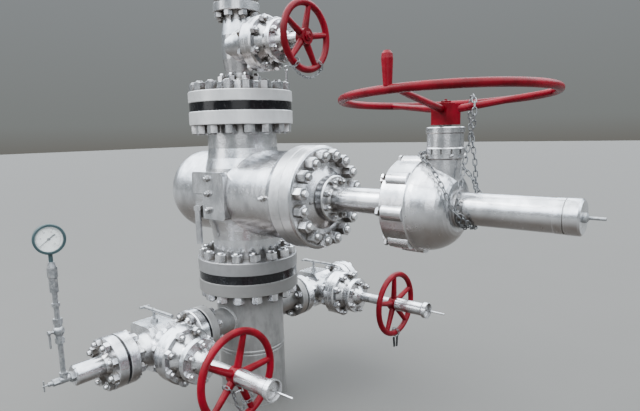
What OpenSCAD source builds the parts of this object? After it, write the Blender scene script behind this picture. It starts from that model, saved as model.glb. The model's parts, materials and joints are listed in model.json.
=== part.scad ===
// Oil wellhead valve stack: casing head, large gate valve with a bevel gear operator, a small
// gate valve on top, two side outlet valves, and a pressure gauge on a riser.
// The origin is the centre of the casing foot. +Z is up, +X runs along the valve stems,
// -Y is the outlet with the gauge.

/* [Casing] */
// Outer radius of the casing and of the casing head's barrel
casing_r = 184; // [160:1:190]
// Outer radius of the master valve's vertical run
run_r = 184; // [170:1:190]
// Height of the casing pipe up to the casing head
pipe_h = 303; // [240:1:320]
// Height of the casing head's flange, from the ground to its underside
head_top = 650; // [640:1:760]
// Height of the side outlets above the ground
outlet_z = 487; // [460:1:500]

/* [Main Flanges] */
// Outer radius of the main flanges
flange_r = 273; // [265:1:300]
// Thickness of the main flanges
flange_t = 68; // [50:1:80]
// Gap between two main flanges
flange_gap = 45; // [20:1:60]
// Radius of the raised face inside the main flanges
raised_r = 200; // [150:1:205]
// Thickness of the black band round a main flange gap
band_t = 6; // [3:1:10]
// How far a black band lies inside the flange rims
band_inset = 4; // [1:0.5:8]
// Height of the adapter flange above the master valve
adapter_t = 56; // [45:1:80]

/* [Master Valve] */
// Face to face height of the master valve
master_h = 838; // [800:1:900]
// Height of the stem above the master valve's lower face
stem_h = 410; // [400:1:430]
// Radius of the master valve's cross barrel
barrel_r = 224; // [215:1:228]
// Length of the cross barrel behind the valve's vertical axis
barrel_back = 487; // [440:1:520]
// Length of the rounded end of the cross barrel
barrel_dome_l = 190; // [150:1:210]
// Length of the cross barrel in front of the axis, to its bonnet flange
barrel_front = 425; // [400:1:440]
// Outer radius of the bonnet flanges
bonnet_r = 250; // [242:1:262]
// Thickness of each bonnet flange
bonnet_t = 70; // [50:1:80]
// Radius of the bonnet's hub at the bonnet flange
bonnet_hub_r = 150; // [130:1:160]
// Length of the bonnet's hub
bonnet_hub_l = 32; // [25:1:60]
// Radius of the gland flange
gland_r = 110; // [100:1:118]
// Thickness of the gland flange
gland_t = 40; // [25:1:55]
// Width of a lug on the side of the body behind the vertical axis
lug_back = 152; // [120:1:170]
// Width of a lug in front of the vertical axis
lug_front = 100; // [80:1:120]
// Height of the lugs
lug_h = 244; // [220:1:280]
// Distance of each lug's face from the valve's axis
lug_y = 235; // [228:1:250]
// Depth of the step in the lower back half of a lug
lug_step = 14; // [6:1:20]
// Diameter of the drain pipe under a lug
drain_d = 34; // [25:1:40]
// Width over corners of the drain pipe's fitting
drain_nut_d = 42; // [36:1:48]
// Height of the drain pipe's fitting
drain_nut_h = 24; // [16:1:36]
// Length of the drain pipe below the stem's height
drain_l = 261; // [220:1:300]

/* [Gear Operator] */
// Radius of the yoke tube between gland and gearbox
yoke_r = 58; // [45:1:66]
// Length of the yoke tube
yoke_l = 359; // [300:1:450]
// Radius of the gearbox's round case
gearbox_r = 190; // [180:1:200]
// Length of the gearbox's round case
gearbox_l = 122; // [105:1:130]
// Length of the clamp bosses
boss_l = 92; // [80:1:98]
// How far the bosses' bolt ends lie in front of the housing's back
boss_back = 20; // [10:1:24]
// Length of the gearbox's dome
dome_l = 154; // [140:1:165]
// Radius of the neck at the dome's front end
dome_neck_r = 78; // [74:1:84]
// Number of clamp bosses round the gearbox
boss_count = 8; // [6:1:10]
// Radius of a clamp boss
boss_r = 34; // [26:1:36]
// How far the clamp bosses stand proud of the case
boss_proud = 16; // [8:1:20]
// Distance of the pinion's axis behind the dome's front end
pinion_back = 80; // [72:1:90]
// Radius of the pinion column
column_r = 66; // [60:1:68]
// Height of the pinion column's collar above the stem
collar_z = 214; // [206:1:230]
// Height of the collar
collar_h = 105; // [90:1:115]
// Radius of the collar
collar_r = 76; // [72:1:82]
// Number of grooves round the collar
groove_count = 12; // [8:1:16]
// Outer radius of the stem cover
cover_r = 64; // [58:1:68]
// Length of the stem cover
cover_l = 356; // [300:1:420]
// Length of the stem cover's end cap
cover_cap_l = 87; // [70:1:110]
// Length of the indicator rod that comes out of the end cap
indicator_l = 70; // [40:1:90]
// Diameter of the indicator rod
indicator_d = 12; // [8:1:16]

/* [Main Handwheel] */
// Outer radius of the main handwheel
wheel_r = 424; // [410:1:450]
// Diameter of the main handwheel's rim
wheel_rim_d = 32; // [26:1:38]
// Height of the rim's centre above the stem
wheel_z = 437; // [425:1:450]
// How far the bent rim tips up towards the stem cover, in degrees
rim_tip_x = 1.96; // [0:0.01:3]
// How far the bent rim tips up towards the gauge's side, in degrees
rim_tip_y = 1.23; // [0:0.01:3]
// Width of the handwheel's square hub
hub_w = 80; // [72:1:90]
// Height of the hub
hub_h = 80; // [70:1:90]
// Radius of the pinion shaft inside the hub
pinion_r = 24; // [18:1:28]
// Diameter of a spoke at the hub
spoke_hub_d = 30; // [26:1:36]
// Diameter of a spoke at the rim
spoke_rim_d = 22; // [20:1:26]
// Height of the grip on the rim
grip_h = 116; // [80:1:140]
// Largest diameter of the grip
grip_d = 40; // [34:1:44]

/* [Small Valves] */
// Radius of the small valves' flanges
small_flange_r = 120.5; // [115:0.5:128]
// Thickness of the small valves' flanges
small_flange_t = 46; // [38:1:54]
// Radius of the raised face inside a small flange
small_face_r = 84; // [76:1:90]
// Radius of the small valves' flow passage, outside
small_neck_r = 72; // [62:1:76]
// Radius of the small valves' bonnet flanges
small_bonnet_r = 135; // [126:1:140]
// Distance from the flow axis to the joint of the bonnet flanges
small_bonnet_x = 190; // [180:1:200]
// Thickness of each small bonnet flange
small_bonnet_t = 38; // [30:1:44]
// Radius of a small gland flange
small_gland_r = 104; // [96:1:110]
// Radius of the tube between a small gland and its handwheel
small_tube_r = 28; // [22:1:32]
// Face to face length of a side valve
side_l = 435; // [425:1:450]
// Gap between two side flanges
side_gap = 12; // [6:1:20]
// Distance from the casing's axis to the face of a side nozzle
nozzle_y = 366; // [350:1:380]
// Face to face height of the top valve
top_h = 435; // [425:1:450]
// Gap below the top valve
top_low_gap = 8; // [4:1:16]
// Gap above the top valve
top_gap = 24; // [15:1:40]

// Diameter of the rod across the top of a side valve's body
rod_d = 17; // [12:1:20]
// Length of that rod
rod_l = 230; // [180:1:260]
// Distance from the flow axis to the rod's back end
rod_back = 110; // [90:1:125]
// Height of the rod above the body
rod_h = 60; // [45:1:80]

/* [Small Handwheels] */
// Outer radius of the handwheel on the gauge's side
left_wheel_r = 206; // [190:1:215]
// Outer radius of the handwheel on the other side
right_wheel_r = 190; // [180:1:215]
// Distance from the flow axis to the rim of the handwheel on the gauge's side
left_wheel_x = 566; // [550:1:600]
// Distance from the flow axis to the rim of the handwheel on the other side
right_wheel_x = 592; // [560:1:610]
// Outer radius of the top valve's handwheel
top_wheel_r = 167; // [155:1:175]
// Distance from the flow axis to the rim of the top valve's handwheel
small_wheel_x = 472; // [460:1:490]
// Diameter of a small handwheel's rim
small_rim_d = 32; // [26:1:36]
// Diameter of a small handwheel's spoke at the hub
small_spoke_hub_d = 34; // [28:1:35]
// Diameter of a small handwheel's spoke at the rim
small_spoke_rim_d = 25; // [18:1:26]
// Outer radius of a small handwheel's hub
small_hub_r = 38; // [34:1:42]
// How far a small handwheel's hub lies behind its rim
wheel_dish = 10; // [4:1:20]
// Length of a small handwheel's hub
small_hub_l = 44; // [36:1:50]
// Radius of a stem cap
cap_r = 36; // [30:1:40]
// Length of a stem cap
cap_l = 200; // [150:1:230]
// Length of the rod that comes out of a stem cap
cap_rod_l = 100; // [60:1:120]

/* [Gauge] */
// Distance from the casing's axis to the gauge riser
riser_y = 1058; // [1050:1:1075]
// Radius of the pipe on the end flange
stub_r = 45; // [38:1:50]
// Length of the pipe on the end flange
stub_l = 150; // [140:1:155]
// Diameter of the gauge riser
riser_d = 21; // [18:1:25]
// Height of the gauge's centre
gauge_z = 1088; // [1070:1:1110]
// Outer diameter of the gauge's case
gauge_d = 124; // [116:1:134]
// Width of the ring round the gauge's window
bezel_w = 11; // [8:0.5:13]
// How far the gauge is turned on its stem towards the big handwheel's side, in degrees
gauge_turn = 14; // [0:1:30]
// Depth of the gauge's case
gauge_depth = 46; // [35:1:60]
// Length of the ball cock
cock_l = 106; // [90:1:115]

/* [Lock Chain] */
// Diameter of the chain's wire
wire_d = 5.0; // [5:0.1:6]
// Distance between two links along the chain
link_pitch = 24; // [23:0.5:27]
// Width of a link
link_w = 20; // [19:0.5:21]
// Slack where two links meet
link_slack = 0.8; // [0.5:0.1:0.9]

/* [Hidden] */
steel = "silver";
wheel_red = "firebrick";
fit = 0.3;
master_z = head_top + flange_t + flange_gap;
stem_z = master_z + stem_h;
master_top = master_z + master_h;
adapter_z = master_top + flange_gap;
top_z = adapter_z + adapter_t + top_low_gap;
bonnet_x = barrel_front + bonnet_t;
hub_x = bonnet_x + bonnet_t;
gland_x = hub_x + bonnet_hub_l;
yoke_x = gland_x + gland_t;
gearbox_x = yoke_x + yoke_l;
dome_x = gearbox_x + gearbox_l;
cover_x = dome_x + dome_l;
pinion_x = cover_x - pinion_back;
collar_top = stem_z + collar_z + collar_h;
hub_z = collar_top + 8;
rim_z = stem_z + wheel_z;
rim_r = wheel_r - wheel_rim_d / 2;
spoke_angles = [-87, 33, 153];
spoke_start = 28;
spoke_z = hub_z + hub_h - 22;
grip_angle = -91;
side_y = nozzle_y + side_gap + side_l / 2;
end_y = nozzle_y + side_gap + side_l + side_gap;
stub_end = end_y + small_flange_t + stub_l;
small_front = small_bonnet_x + small_bonnet_t;
small_gland_x = small_front + 72;
small_gland_t = 24;
small_shaft_r = 15;
hub_front = small_hub_l / 2 - wheel_dish;
box_half = 72;
box_top = 108;
tee_r = 16;
tee_top = outlet_z + 32;
cock_z = gauge_z - 440;
coupling_z = gauge_z - 222;
reducer_z = gauge_z - 160;
case_stem_z = reducer_z + 65;
case_stem_d = 17;
window_depth = 12;
window_r = gauge_d / 2 - bezel_w;
dial_t = 1.5;
pointer_angle = 216;
boss_start = -86;

// Turns a shape drawn along +Z to lie along +X
module along_x(x, y = 0, z = 0) translate([x, y, z]) rotate([0, 90, 0]) children();
// Turns a shape drawn along +Z to lie along Y, outward on the side given by sgn
module along_y(y, z, sgn) translate([0, y, z]) rotate([-90 * sgn, 0, 0]) children();
// Revolves a profile of radius and height pairs
module turned(points) rotate_extrude($fn = 96) polygon(points);
// A quarter of an ellipse, from the axis out to radius r over length l
function dome(r, l, steps = 12) =
    [for (k = [0:steps]) [r * sin(90 * k / steps), l * (1 - cos(90 * k / steps))]];

// A flange plate with a raised face on its upper side and chamfered rim
module plate(r, t, face_r, face_h, c = 3)
    turned([[0, 0], [r - c, 0], [r, c], [r, t - c], [r - c, t], [face_r, t], [face_r, t + face_h],
        [0, t + face_h]]);

module casing_pipe() color("darkgray") turned([[0, 0], [casing_r, 0], [casing_r, pipe_h - 6],
    [casing_r - 4, pipe_h], [0, pipe_h]]);

module casing_head() color("darkgray") {
    translate([0, 0, pipe_h]) turned([[0, 0], [casing_r - 4, 0], [casing_r + 3, 5], [casing_r + 3, 15],
        [casing_r, 20], [casing_r, head_top - pipe_h + 1], [0, head_top - pipe_h + 1]]);
    translate([0, 0, head_top]) plate(flange_r, flange_t, raised_r, flange_gap / 2);
    for (sgn = [-1, 1]) along_y(0, outlet_z, sgn) {
        cylinder(h = nozzle_y - small_flange_t + 1, r = small_neck_r, $fn = 64);
        translate([0, 0, nozzle_y - small_flange_t])
            plate(small_flange_r, small_flange_t, small_face_r, side_gap / 2);
    }
}

// A ring that closes the gap between two flanges
module joint_band(r, h, t) difference() {
    cylinder(h = h, r = r, $fn = 96);
    translate([0, 0, -1]) cylinder(h = h + 2, r = r - t, $fn = 96);
}

module lower_joint_band() color("black")
    translate([0, 0, head_top + flange_t]) joint_band(flange_r - band_inset, flange_gap, band_t);

module upper_joint_band() color("black")
    translate([0, 0, master_top]) joint_band(flange_r - band_inset, flange_gap, band_t);

// Half of the master valve's vertical run, from the stem's height out to a flange
module run_half(length) turned([[0, 0], [barrel_r - 4, 0], [barrel_r - 6, barrel_r / 4],
    [run_r + 22, 0.62 * barrel_r], [run_r + 8, 0.85 * barrel_r], [run_r, 1.07 * barrel_r],
    [run_r, length], [0, length]]);

// The outline of a lug from the side: back and front of the vertical axis, and height
module lug_outline(low) polygon([[-lug_back + 12, low], [lug_front - 12, low], [lug_front, low + 12],
    [lug_front, lug_h / 2 - 20], [lug_front - 20, lug_h / 2], [-lug_back + 12, lug_h / 2],
    [-lug_back, lug_h / 2 - 12], [-lug_back, low + 12]]);

module master_body() color(steel) {
    translate([0, 0, master_z + flange_t]) mirror([0, 0, 1])
        plate(flange_r, flange_t, raised_r, flange_gap / 2);
    translate([0, 0, master_top - flange_t]) plate(flange_r, flange_t, raised_r, flange_gap / 2);
    translate([0, 0, stem_z]) {
        run_half(master_h - stem_h - flange_t + 1);
        mirror([0, 0, 1]) run_half(stem_h - flange_t + 1);
    }
    along_x(-barrel_back, 0, stem_z) turned(concat(dome(barrel_r, barrel_dome_l),
        [[barrel_r, barrel_back + barrel_front - 40], [barrel_r + 8, barrel_back + barrel_front],
        [0, barrel_back + barrel_front]]));
    along_x(-barrel_back - 10, 0, stem_z) cylinder(h = 30, r = 20, $fn = 6);
    along_x(barrel_front, 0, stem_z) turned([[0, 0], [bonnet_r - 10, 0], [bonnet_r, 10],
        [bonnet_r, bonnet_t - 3], [bonnet_r - 3, bonnet_t], [0, bonnet_t]]);
    for (sgn = [-1, 1]) translate([0, 0, stem_z]) {
        rotate([90, 0, 0]) translate([0, 0, sgn < 0 ? 0 : -lug_y]) linear_extrude(height = lug_y)
            lug_outline(10);
        rotate([90, 0, 0]) translate([0, 0, sgn < 0 ? 0 : lug_step - lug_y])
            linear_extrude(height = lug_y - lug_step) lug_outline(-lug_h / 2);
        rotate([90, 0, 0]) translate([0, 0, sgn < 0 ? 0 : -lug_y]) linear_extrude(height = lug_y)
            polygon([[-70, -lug_h / 2], [lug_front - 12, -lug_h / 2], [lug_front, 12 - lug_h / 2],
                [lug_front, 20], [-70, 20]]);
    }
}

// The drain pipe hangs from a hexagon fitting against the lug's set-back part
module drain_pipe() color(steel)
    translate([drain_nut_d - lug_back, lug_step - lug_y - drain_nut_d / 2 * cos(30) - fit / 2, stem_z]) {
        translate([0, 0, -drain_l]) cylinder(h = drain_l - lug_h / 3, d = drain_d, $fn = 48);
        translate([0, 0, -lug_h / 3]) cylinder(h = drain_nut_h, d = drain_nut_d, $fn = 6);
    }

module master_bonnet() color(steel) along_x(bonnet_x, 0, stem_z)
    turned([[0, 0], [bonnet_r - 3, 0], [bonnet_r, 3], [bonnet_r, bonnet_t - 14],
        [bonnet_r - 5, bonnet_t - 4], [bonnet_r - 14, bonnet_t], [bonnet_hub_r, bonnet_t],
        [gland_r - 8, bonnet_t + bonnet_hub_l - 6], [gland_r - 14, bonnet_t + bonnet_hub_l],
        [0, bonnet_t + bonnet_hub_l]]);

module gland_flange() color(steel) along_x(gland_x, 0, stem_z)
    turned([[0, 0], [gland_r, 0], [gland_r, gland_t - 5], [gland_r - 5, gland_t],
        [0, gland_t]]);

module yoke_tube() color(steel) along_x(yoke_x, 0, stem_z)
    turned([[0, 0], [yoke_r + 8, 0], [yoke_r, 10], [yoke_r, yoke_l], [0, yoke_l]]);

module gearbox_shape() {
    along_x(gearbox_x, 0, stem_z) turned(concat(
        [[0, 0], [gearbox_r - 4, 0], [gearbox_r, 4], [gearbox_r, gearbox_l - 8],
        [gearbox_r - 5, gearbox_l - 4]],
        [for (a = [0:8:80]) [dome_neck_r + (gearbox_r - 6 - dome_neck_r) * cos(a),
            gearbox_l + (dome_l - 10) * sin(a)]],
        [[dome_neck_r, gearbox_l + dome_l - 10], [dome_neck_r, gearbox_l + dome_l],
        [0, gearbox_l + dome_l]]));
    for (k = [0:boss_count - 1]) along_x(gearbox_x, 0, stem_z)
        rotate([0, 0, boss_start + k * 360 / boss_count])
        translate([gearbox_r + boss_proud - boss_r, 0, boss_back])
        cylinder(h = boss_l, r = boss_r, $fn = 32);
}

module gearbox_housing() color(steel) gearbox_shape();

module pinion_column() color(steel) difference() {
    translate([pinion_x, 0, stem_z]) turned([[0, 0], [column_r, 0], [column_r, collar_z - 22],
        [column_r + 8, collar_z - 16], [column_r + 8, collar_z], [0, collar_z]]);
    gearbox_shape();
    along_x(gearbox_x, 0, stem_z) cylinder(h = gearbox_l + 2 * dome_l, r = dome_neck_r + fit, $fn = 64);
}

module pinion_collar() color(steel) translate([pinion_x, 0, stem_z + collar_z]) {
    difference() {
        turned([[0, 0], [collar_r, 0], [collar_r, 22], [collar_r - 4, 26], [collar_r - 4, collar_h - 26],
            [collar_r, collar_h - 22], [collar_r, collar_h - 3], [collar_r - 3, collar_h],
            [0, collar_h]]);
        for (k = [0:groove_count - 1]) rotate([0, 0, k * 360 / groove_count])
            translate([collar_r + 2, -5, 30]) cube([16, 10, collar_h - 60], center = false);
        for (k = [0:groove_count - 1]) rotate([0, 0, (k + 0.5) * 360 / groove_count])
            translate([collar_r - 7, -4, -1]) cube([16, 8, 20]);
    }
    cylinder(h = collar_h + 8 + hub_h - 6, r = pinion_r, $fn = 48);
}

// Tips what is drawn round the rim's centre as the bent rim lies
module rim_tip() translate([pinion_x, 0, rim_z]) rotate([-rim_tip_y, -rim_tip_x, 0]) children();

module main_rim(d) rim_tip() rotate_extrude($fn = 128) translate([rim_r, 0]) circle(d = d, $fn = 24);

module main_handwheel() color(wheel_red) {
    translate([pinion_x, 0, hub_z]) difference() {
        rotate([0, 0, -15]) translate([-hub_w / 2, -hub_w / 2, 0]) cube([hub_w, hub_w, hub_h]);
        translate([0, 0, -1]) cylinder(h = hub_h - 4, r = pinion_r + 0.5, $fn = 48);
    }
    main_rim(wheel_rim_d);
    for (a = spoke_angles) {
        rise = rim_z - spoke_z + rim_r * (sin(rim_tip_x) * cos(a) - sin(rim_tip_y) * sin(a));
        span = rim_r - spoke_start;
        translate([pinion_x, 0, spoke_z]) rotate([0, 0, a]) translate([spoke_start, 0, 0])
            rotate([0, 90 - atan(rise / span), 0])
            cylinder(h = norm([rise, span]) - 2, d1 = spoke_hub_d, d2 = spoke_rim_d, $fn = 32);
    }
}

module main_wheel_grip() color(wheel_red) difference() {
    rim_tip() rotate([0, 0, grip_angle]) translate([rim_r, 0, wheel_rim_d / 2 - 6])
        turned([[0, 0], [grip_d / 2 - 5, 0], [grip_d / 2, grip_h - 26], [grip_d / 2 - 2, grip_h - 10],
            [grip_d / 2 - 9, grip_h], [0, grip_h]]);
    main_rim(wheel_rim_d + 2 * fit);
}

module stem_cover() color(steel) along_x(cover_x, 0, stem_z)
    cylinder(h = cover_l, r = cover_r, $fn = 64);

module stem_cover_cap() color(steel) along_x(cover_x + cover_l, 0, stem_z)
    turned([[0, 0], [cover_r + 1, 0], [cover_r + 1, 30], [cover_r - 2, 31], [cover_r - 2, 33],
        [cover_r + 2, 35], [cover_r + 2, cover_cap_l - 6], [cover_r - 5, cover_cap_l],
        [0, cover_cap_l]]);

module indicator_rod() color(steel) along_x(cover_x + cover_l + cover_cap_l, 0, stem_z)
    turned([[0, 0], [18, 0], [18, 10], [12, 14], [indicator_d / 2, 18],
        [indicator_d / 2, indicator_l - 2], [indicator_d / 2 - 2, indicator_l], [0, indicator_l]]);

module adapter_flange() color(steel) translate([0, 0, adapter_z]) {
    mirror([0, 0, 1]) translate([0, 0, -adapter_t]) plate(flange_r, adapter_t, raised_r, flange_gap / 2);
    cylinder(h = adapter_t + top_low_gap / 2, r = small_face_r, $fn = 64);
}

// A flange of a small valve that ends its run at height z, with a raised face
module small_flange(z, gap) translate([0, 0, z - small_flange_t])
    plate(small_flange_r, small_flange_t, small_face_r, gap / 2);

// The half of a small valve's run above its centre
module small_run(l) turned([[0, 0], [small_neck_r + 14, 0], [small_neck_r + 12, 60],
    [small_neck_r, l / 2 - small_flange_t - 40], [small_neck_r, l / 2 - small_flange_t - 12],
    [small_neck_r + 8, l / 2 - small_flange_t + 1], [0, l / 2 - small_flange_t + 1]]);

// Body of a small gate valve: run along Z, stem along +X
module small_body(l, low_gap, high_gap) {
    small_flange(l / 2, high_gap);
    small_run(l);
    mirror([0, 0, 1]) {
        small_flange(l / 2, low_gap);
        small_run(l);
    }
    along_x(0) turned([[0, 0], [small_neck_r + 20, 0], [small_neck_r + 24, 70], [small_neck_r + 32, 110],
        [small_bonnet_r - 12, small_bonnet_x - small_bonnet_t],
        [small_bonnet_r, small_bonnet_x - small_bonnet_t + 8], [small_bonnet_r, small_bonnet_x - 2],
        [small_bonnet_r - 2, small_bonnet_x], [0, small_bonnet_x]]);
}

// The tube, gland and bonnet flange of a small valve, out to the shaft inside the wheel's hub
module small_bonnet(wheel_x) along_x(small_bonnet_x) {
    front = small_bonnet_t;
    gland = small_gland_x - small_bonnet_x;
    tube_end = wheel_x - wheel_dish - small_hub_l / 2 - small_bonnet_x - 2;
    turned([[0, 0], [small_bonnet_r - 2, 0], [small_bonnet_r, 2], [small_bonnet_r, front - 8],
        [small_bonnet_r - 8, front], [small_gland_r, front + 2], [small_gland_r - 22, front + 34],
        [small_gland_r - 28, gland], [small_gland_r, gland + 1], [small_gland_r, gland + small_gland_t - 4],
        [small_gland_r - 4, gland + small_gland_t], [58, gland + small_gland_t + 2],
        [44, gland + small_gland_t + 20], [small_tube_r, gland + small_gland_t + 34],
        [small_tube_r, tube_end], [small_shaft_r, tube_end],
        [small_shaft_r, tube_end + small_hub_l], [0, tube_end + small_hub_l]]);
}

// A dished handwheel with five spokes, its rim's centre at the origin
module small_wheel(r, turn) {
    ring_r = r - small_rim_d / 2;
    start = small_hub_r - 6;
    lean = atan(wheel_dish / (ring_r - start));
    rotate_extrude($fn = 96) translate([ring_r, 0]) circle(d = small_rim_d, $fn = 24);
    translate([0, 0, -wheel_dish - small_hub_l / 2]) difference() {
        cylinder(h = small_hub_l, r = small_hub_r, $fn = 48);
        translate([0, 0, -1]) cylinder(h = small_hub_l + 2, r = small_shaft_r + 0.5, $fn = 48);
    }
    for (k = [0:4]) rotate([0, 0, turn + k * 72]) translate([start, 0, -wheel_dish])
        rotate([0, 90 - lean, 0])
            cylinder(h = (ring_r - start) / cos(lean) - 2, d1 = small_spoke_hub_d, d2 = small_spoke_rim_d,
                $fn = 32);
}

module top_valve_body() color(steel) translate([0, 0, top_z + top_h / 2])
    small_body(top_h, top_low_gap, top_gap);
module top_bonnet() color(steel) translate([0, 0, top_z + top_h / 2]) small_bonnet(small_wheel_x);
module top_handwheel() color(wheel_red) along_x(small_wheel_x, 0, top_z + top_h / 2)
    small_wheel(top_wheel_r, 26);
module top_blind_flange() color(steel) translate([0, 0, top_z + top_h + top_gap + small_flange_t])
    mirror([0, 0, 1]) plate(small_flange_r, small_flange_t, small_face_r, top_gap / 2);

// The flat sided block of a side valve's body, run along Z
module body_block() translate([0, 0, -box_half]) linear_extrude(height = 2 * box_half)
    polygon([[-130, -box_top + 30], [-100, -box_top], [30, -box_top], [60, -box_top + 30],
        [60, box_top - 30], [30, box_top], [-112, box_top], [-130, box_top - 18]]);

// The block's flat faces point up and down once the run lies along Y
module side_body(sgn) along_y(side_y * sgn, outlet_z, sgn) {
    small_body(side_l, side_gap, side_gap);
    body_block();
}
module left_valve_body() color(steel) side_body(-1);
module right_valve_body() color(steel) side_body(1);
module left_bonnet() color(steel) along_y(-side_y, outlet_z, -1) small_bonnet(left_wheel_x);
module right_bonnet() color(steel) along_y(side_y, outlet_z, 1) small_bonnet(right_wheel_x);
module left_handwheel() color(wheel_red) along_x(left_wheel_x, -side_y, outlet_z)
    small_wheel(left_wheel_r, 22);
module right_handwheel() color(wheel_red) along_x(right_wheel_x, side_y, outlet_z)
    small_wheel(right_wheel_r, 40);

// The tube over a side valve's rising stem, with a flared open end and a thin rod
module stem_cap() turned([[0, 0], [cap_r, 0], [cap_r, cap_l - 34], [cap_r + 9, cap_l - 22],
    [cap_r + 9, cap_l], [cap_r + 5, cap_l], [cap_r + 3, cap_l - 16], [4.5, cap_l - 16],
    [4.5, cap_l + cap_rod_l], [0, cap_l + cap_rod_l]]);
module left_stem_cap() color(steel) along_x(left_wheel_x + hub_front, -side_y, outlet_z) stem_cap();
module right_stem_cap() color(steel) along_x(right_wheel_x + hub_front, side_y, outlet_z) stem_cap();

module side_joint_bands() color("black") for (sgn = [-1, 1]) for (y = [nozzle_y, end_y - side_gap])
    along_y(y * sgn, outlet_z, sgn) joint_band(small_flange_r - 3, side_gap, 4);

// An end flange whose raised face meets the side valve
module end_flange() translate([0, 0, small_flange_t]) mirror([0, 0, 1])
    plate(small_flange_r, small_flange_t, small_face_r, side_gap / 2);
module left_end_flange() color(steel) along_y(-end_y, outlet_z, -1) {
    end_flange();
    turned([[0, small_flange_t - 1], [stub_r + 12, small_flange_t - 1], [stub_r, small_flange_t + 22],
        [stub_r, small_flange_t + stub_l - 6], [stub_r - 6, small_flange_t + stub_l],
        [0, small_flange_t + stub_l]]);
}
module right_blind_flange() color(steel) along_y(end_y, outlet_z, 1) end_flange();

// A post on each side valve's body with a cross rod along the stem, and a short pin across its back end
module bleed_fittings() color("gray")
    for (sgn = [-1, 1]) translate([-rod_back + rod_l / 3, side_y * sgn, outlet_z + box_top]) {
        cylinder(h = rod_h / 4, d = 2 * rod_d, $fn = 6);
        cylinder(h = rod_h + rod_d / 2, d = 0.8 * rod_d, $fn = 32);
        along_x(-rod_l / 3, 0, rod_h) cylinder(h = rod_l, d = rod_d, $fn = 32);
        translate([-rod_l / 3, 0, rod_h]) rotate([90, 0, 0])
            cylinder(h = 3 * rod_d, d = 0.7 * rod_d, center = true, $fn = 32);
    }

module gauge_tee() color("gray") {
    along_y(-stub_end, outlet_z, -1) cylinder(h = 14, d = 46, $fn = 6);
    along_y(-stub_end - 13, outlet_z, -1) cylinder(h = riser_y + 22 - stub_end - 13, r = tee_r, $fn = 32);
    translate([0, -riser_y, outlet_z]) cylinder(h = tee_top - outlet_z, r = tee_r, $fn = 32);
}
module needle_valve() color("gray") along_y(-riser_y - 22, outlet_z, -1) {
    cylinder(h = 26, d = 30, $fn = 6);
    cylinder(h = 44, d = 18, $fn = 32);
    cylinder(h = 66, d = 7, $fn = 32);
    translate([0, 0, 60]) rotate([90, 0, 0]) cylinder(h = 46, d = 6, center = true, $fn = 32);
}
module gauge_riser() color("gray") translate([0, -riser_y, tee_top])
    cylinder(h = cock_z - tee_top, d = riser_d, $fn = 32);
module gauge_cock() color("gray") translate([0, -riser_y, cock_z]) {
    cylinder(h = 24, d = 38, $fn = 6);
    cylinder(h = cock_l, d = 30, $fn = 48);
    translate([0, 0, cock_l / 2]) sphere(d = 46, $fn = 48);
    translate([0, 0, cock_l - 24]) cylinder(h = 24, d = 38, $fn = 6);
    translate([0, 0, cock_l]) cylinder(h = coupling_z - cock_z - cock_l, d = riser_d, $fn = 32);
    translate([0, 0, cock_l + 52]) cylinder(h = 14, d = 32, $fn = 32);
    translate([0, 0, cock_l / 2]) rotate([90, 0, 0]) cylinder(h = 36, d = 12, $fn = 32);
}
module cock_lever() color("gray") along_y(-riser_y - 36 - fit, cock_z + cock_l / 2, -1) {
    cylinder(h = 8, d = 20, $fn = 32);
    translate([-6, -60, 0]) cube([12, 60, 5]);
    translate([0, -60, 0]) cylinder(h = 5, d = 12, $fn = 32);
}
module gauge_reducer() color("gray") {
    translate([0, -riser_y, coupling_z]) cylinder(h = reducer_z - coupling_z - 3, d = 34, $fn = 32);
    translate([0, -riser_y, coupling_z]) cylinder(h = reducer_z - coupling_z + 2, d = 20, $fn = 32);
    translate([0, -riser_y, reducer_z]) cylinder(h = 42, d = 40, $fn = 6);
    translate([0, -riser_y, reducer_z + 41]) cylinder(h = 24, d1 = 34, d2 = 24, $fn = 32);
}
// Puts what faces +Z on the gauge's axis, its back at the given distance behind the riser's axis
module gauge_axis(x) translate([0, -riser_y, gauge_z]) rotate([0, 0, -gauge_turn]) along_x(x) children();
module gauge_case() color("darkslategray") difference() {
    union() {
        translate([0, -riser_y, case_stem_z])
            cylinder(h = gauge_z - gauge_d / 2 + 14 - case_stem_z, d = case_stem_d, $fn = 32);
        gauge_axis(-gauge_depth / 2)
            turned([[0, 0], [gauge_d / 2 - 12, 0], [gauge_d / 2 - 5, 6], [gauge_d / 2 - 5, gauge_depth - 14],
                [gauge_d / 2, gauge_depth - 12], [gauge_d / 2, gauge_depth - 3],
                [gauge_d / 2 - 3, gauge_depth], [0, gauge_depth]]);
    }
    gauge_axis(gauge_depth / 2 - window_depth) cylinder(h = window_depth + 8, r = window_r, $fn = 96);
}
module gauge_dial() color("white") gauge_axis(gauge_depth / 2 - window_depth)
    cylinder(h = dial_t, r = window_r - fit, $fn = 96);
// The pointer stands at zero, its tip down to the left and its round tail up to the right
module gauge_pointer() color("black") gauge_axis(gauge_depth / 2 - window_depth + dial_t + fit / 2) {
    cylinder(h = 4, d = 10, $fn = 32);
    rotate([0, 0, pointer_angle]) translate([0, 0, 1]) linear_extrude(height = 1.2) {
        polygon([[-2, 0], [2, 0], [0.6, window_r - 6], [-0.6, window_r - 6]]);
        polygon([[-1.6, 0], [1.6, 0], [2.4, -window_r / 2], [-2.4, -window_r / 2]]);
        translate([0, -window_r / 2]) circle(d = 8, $fn = 32);
    }
}

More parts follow.
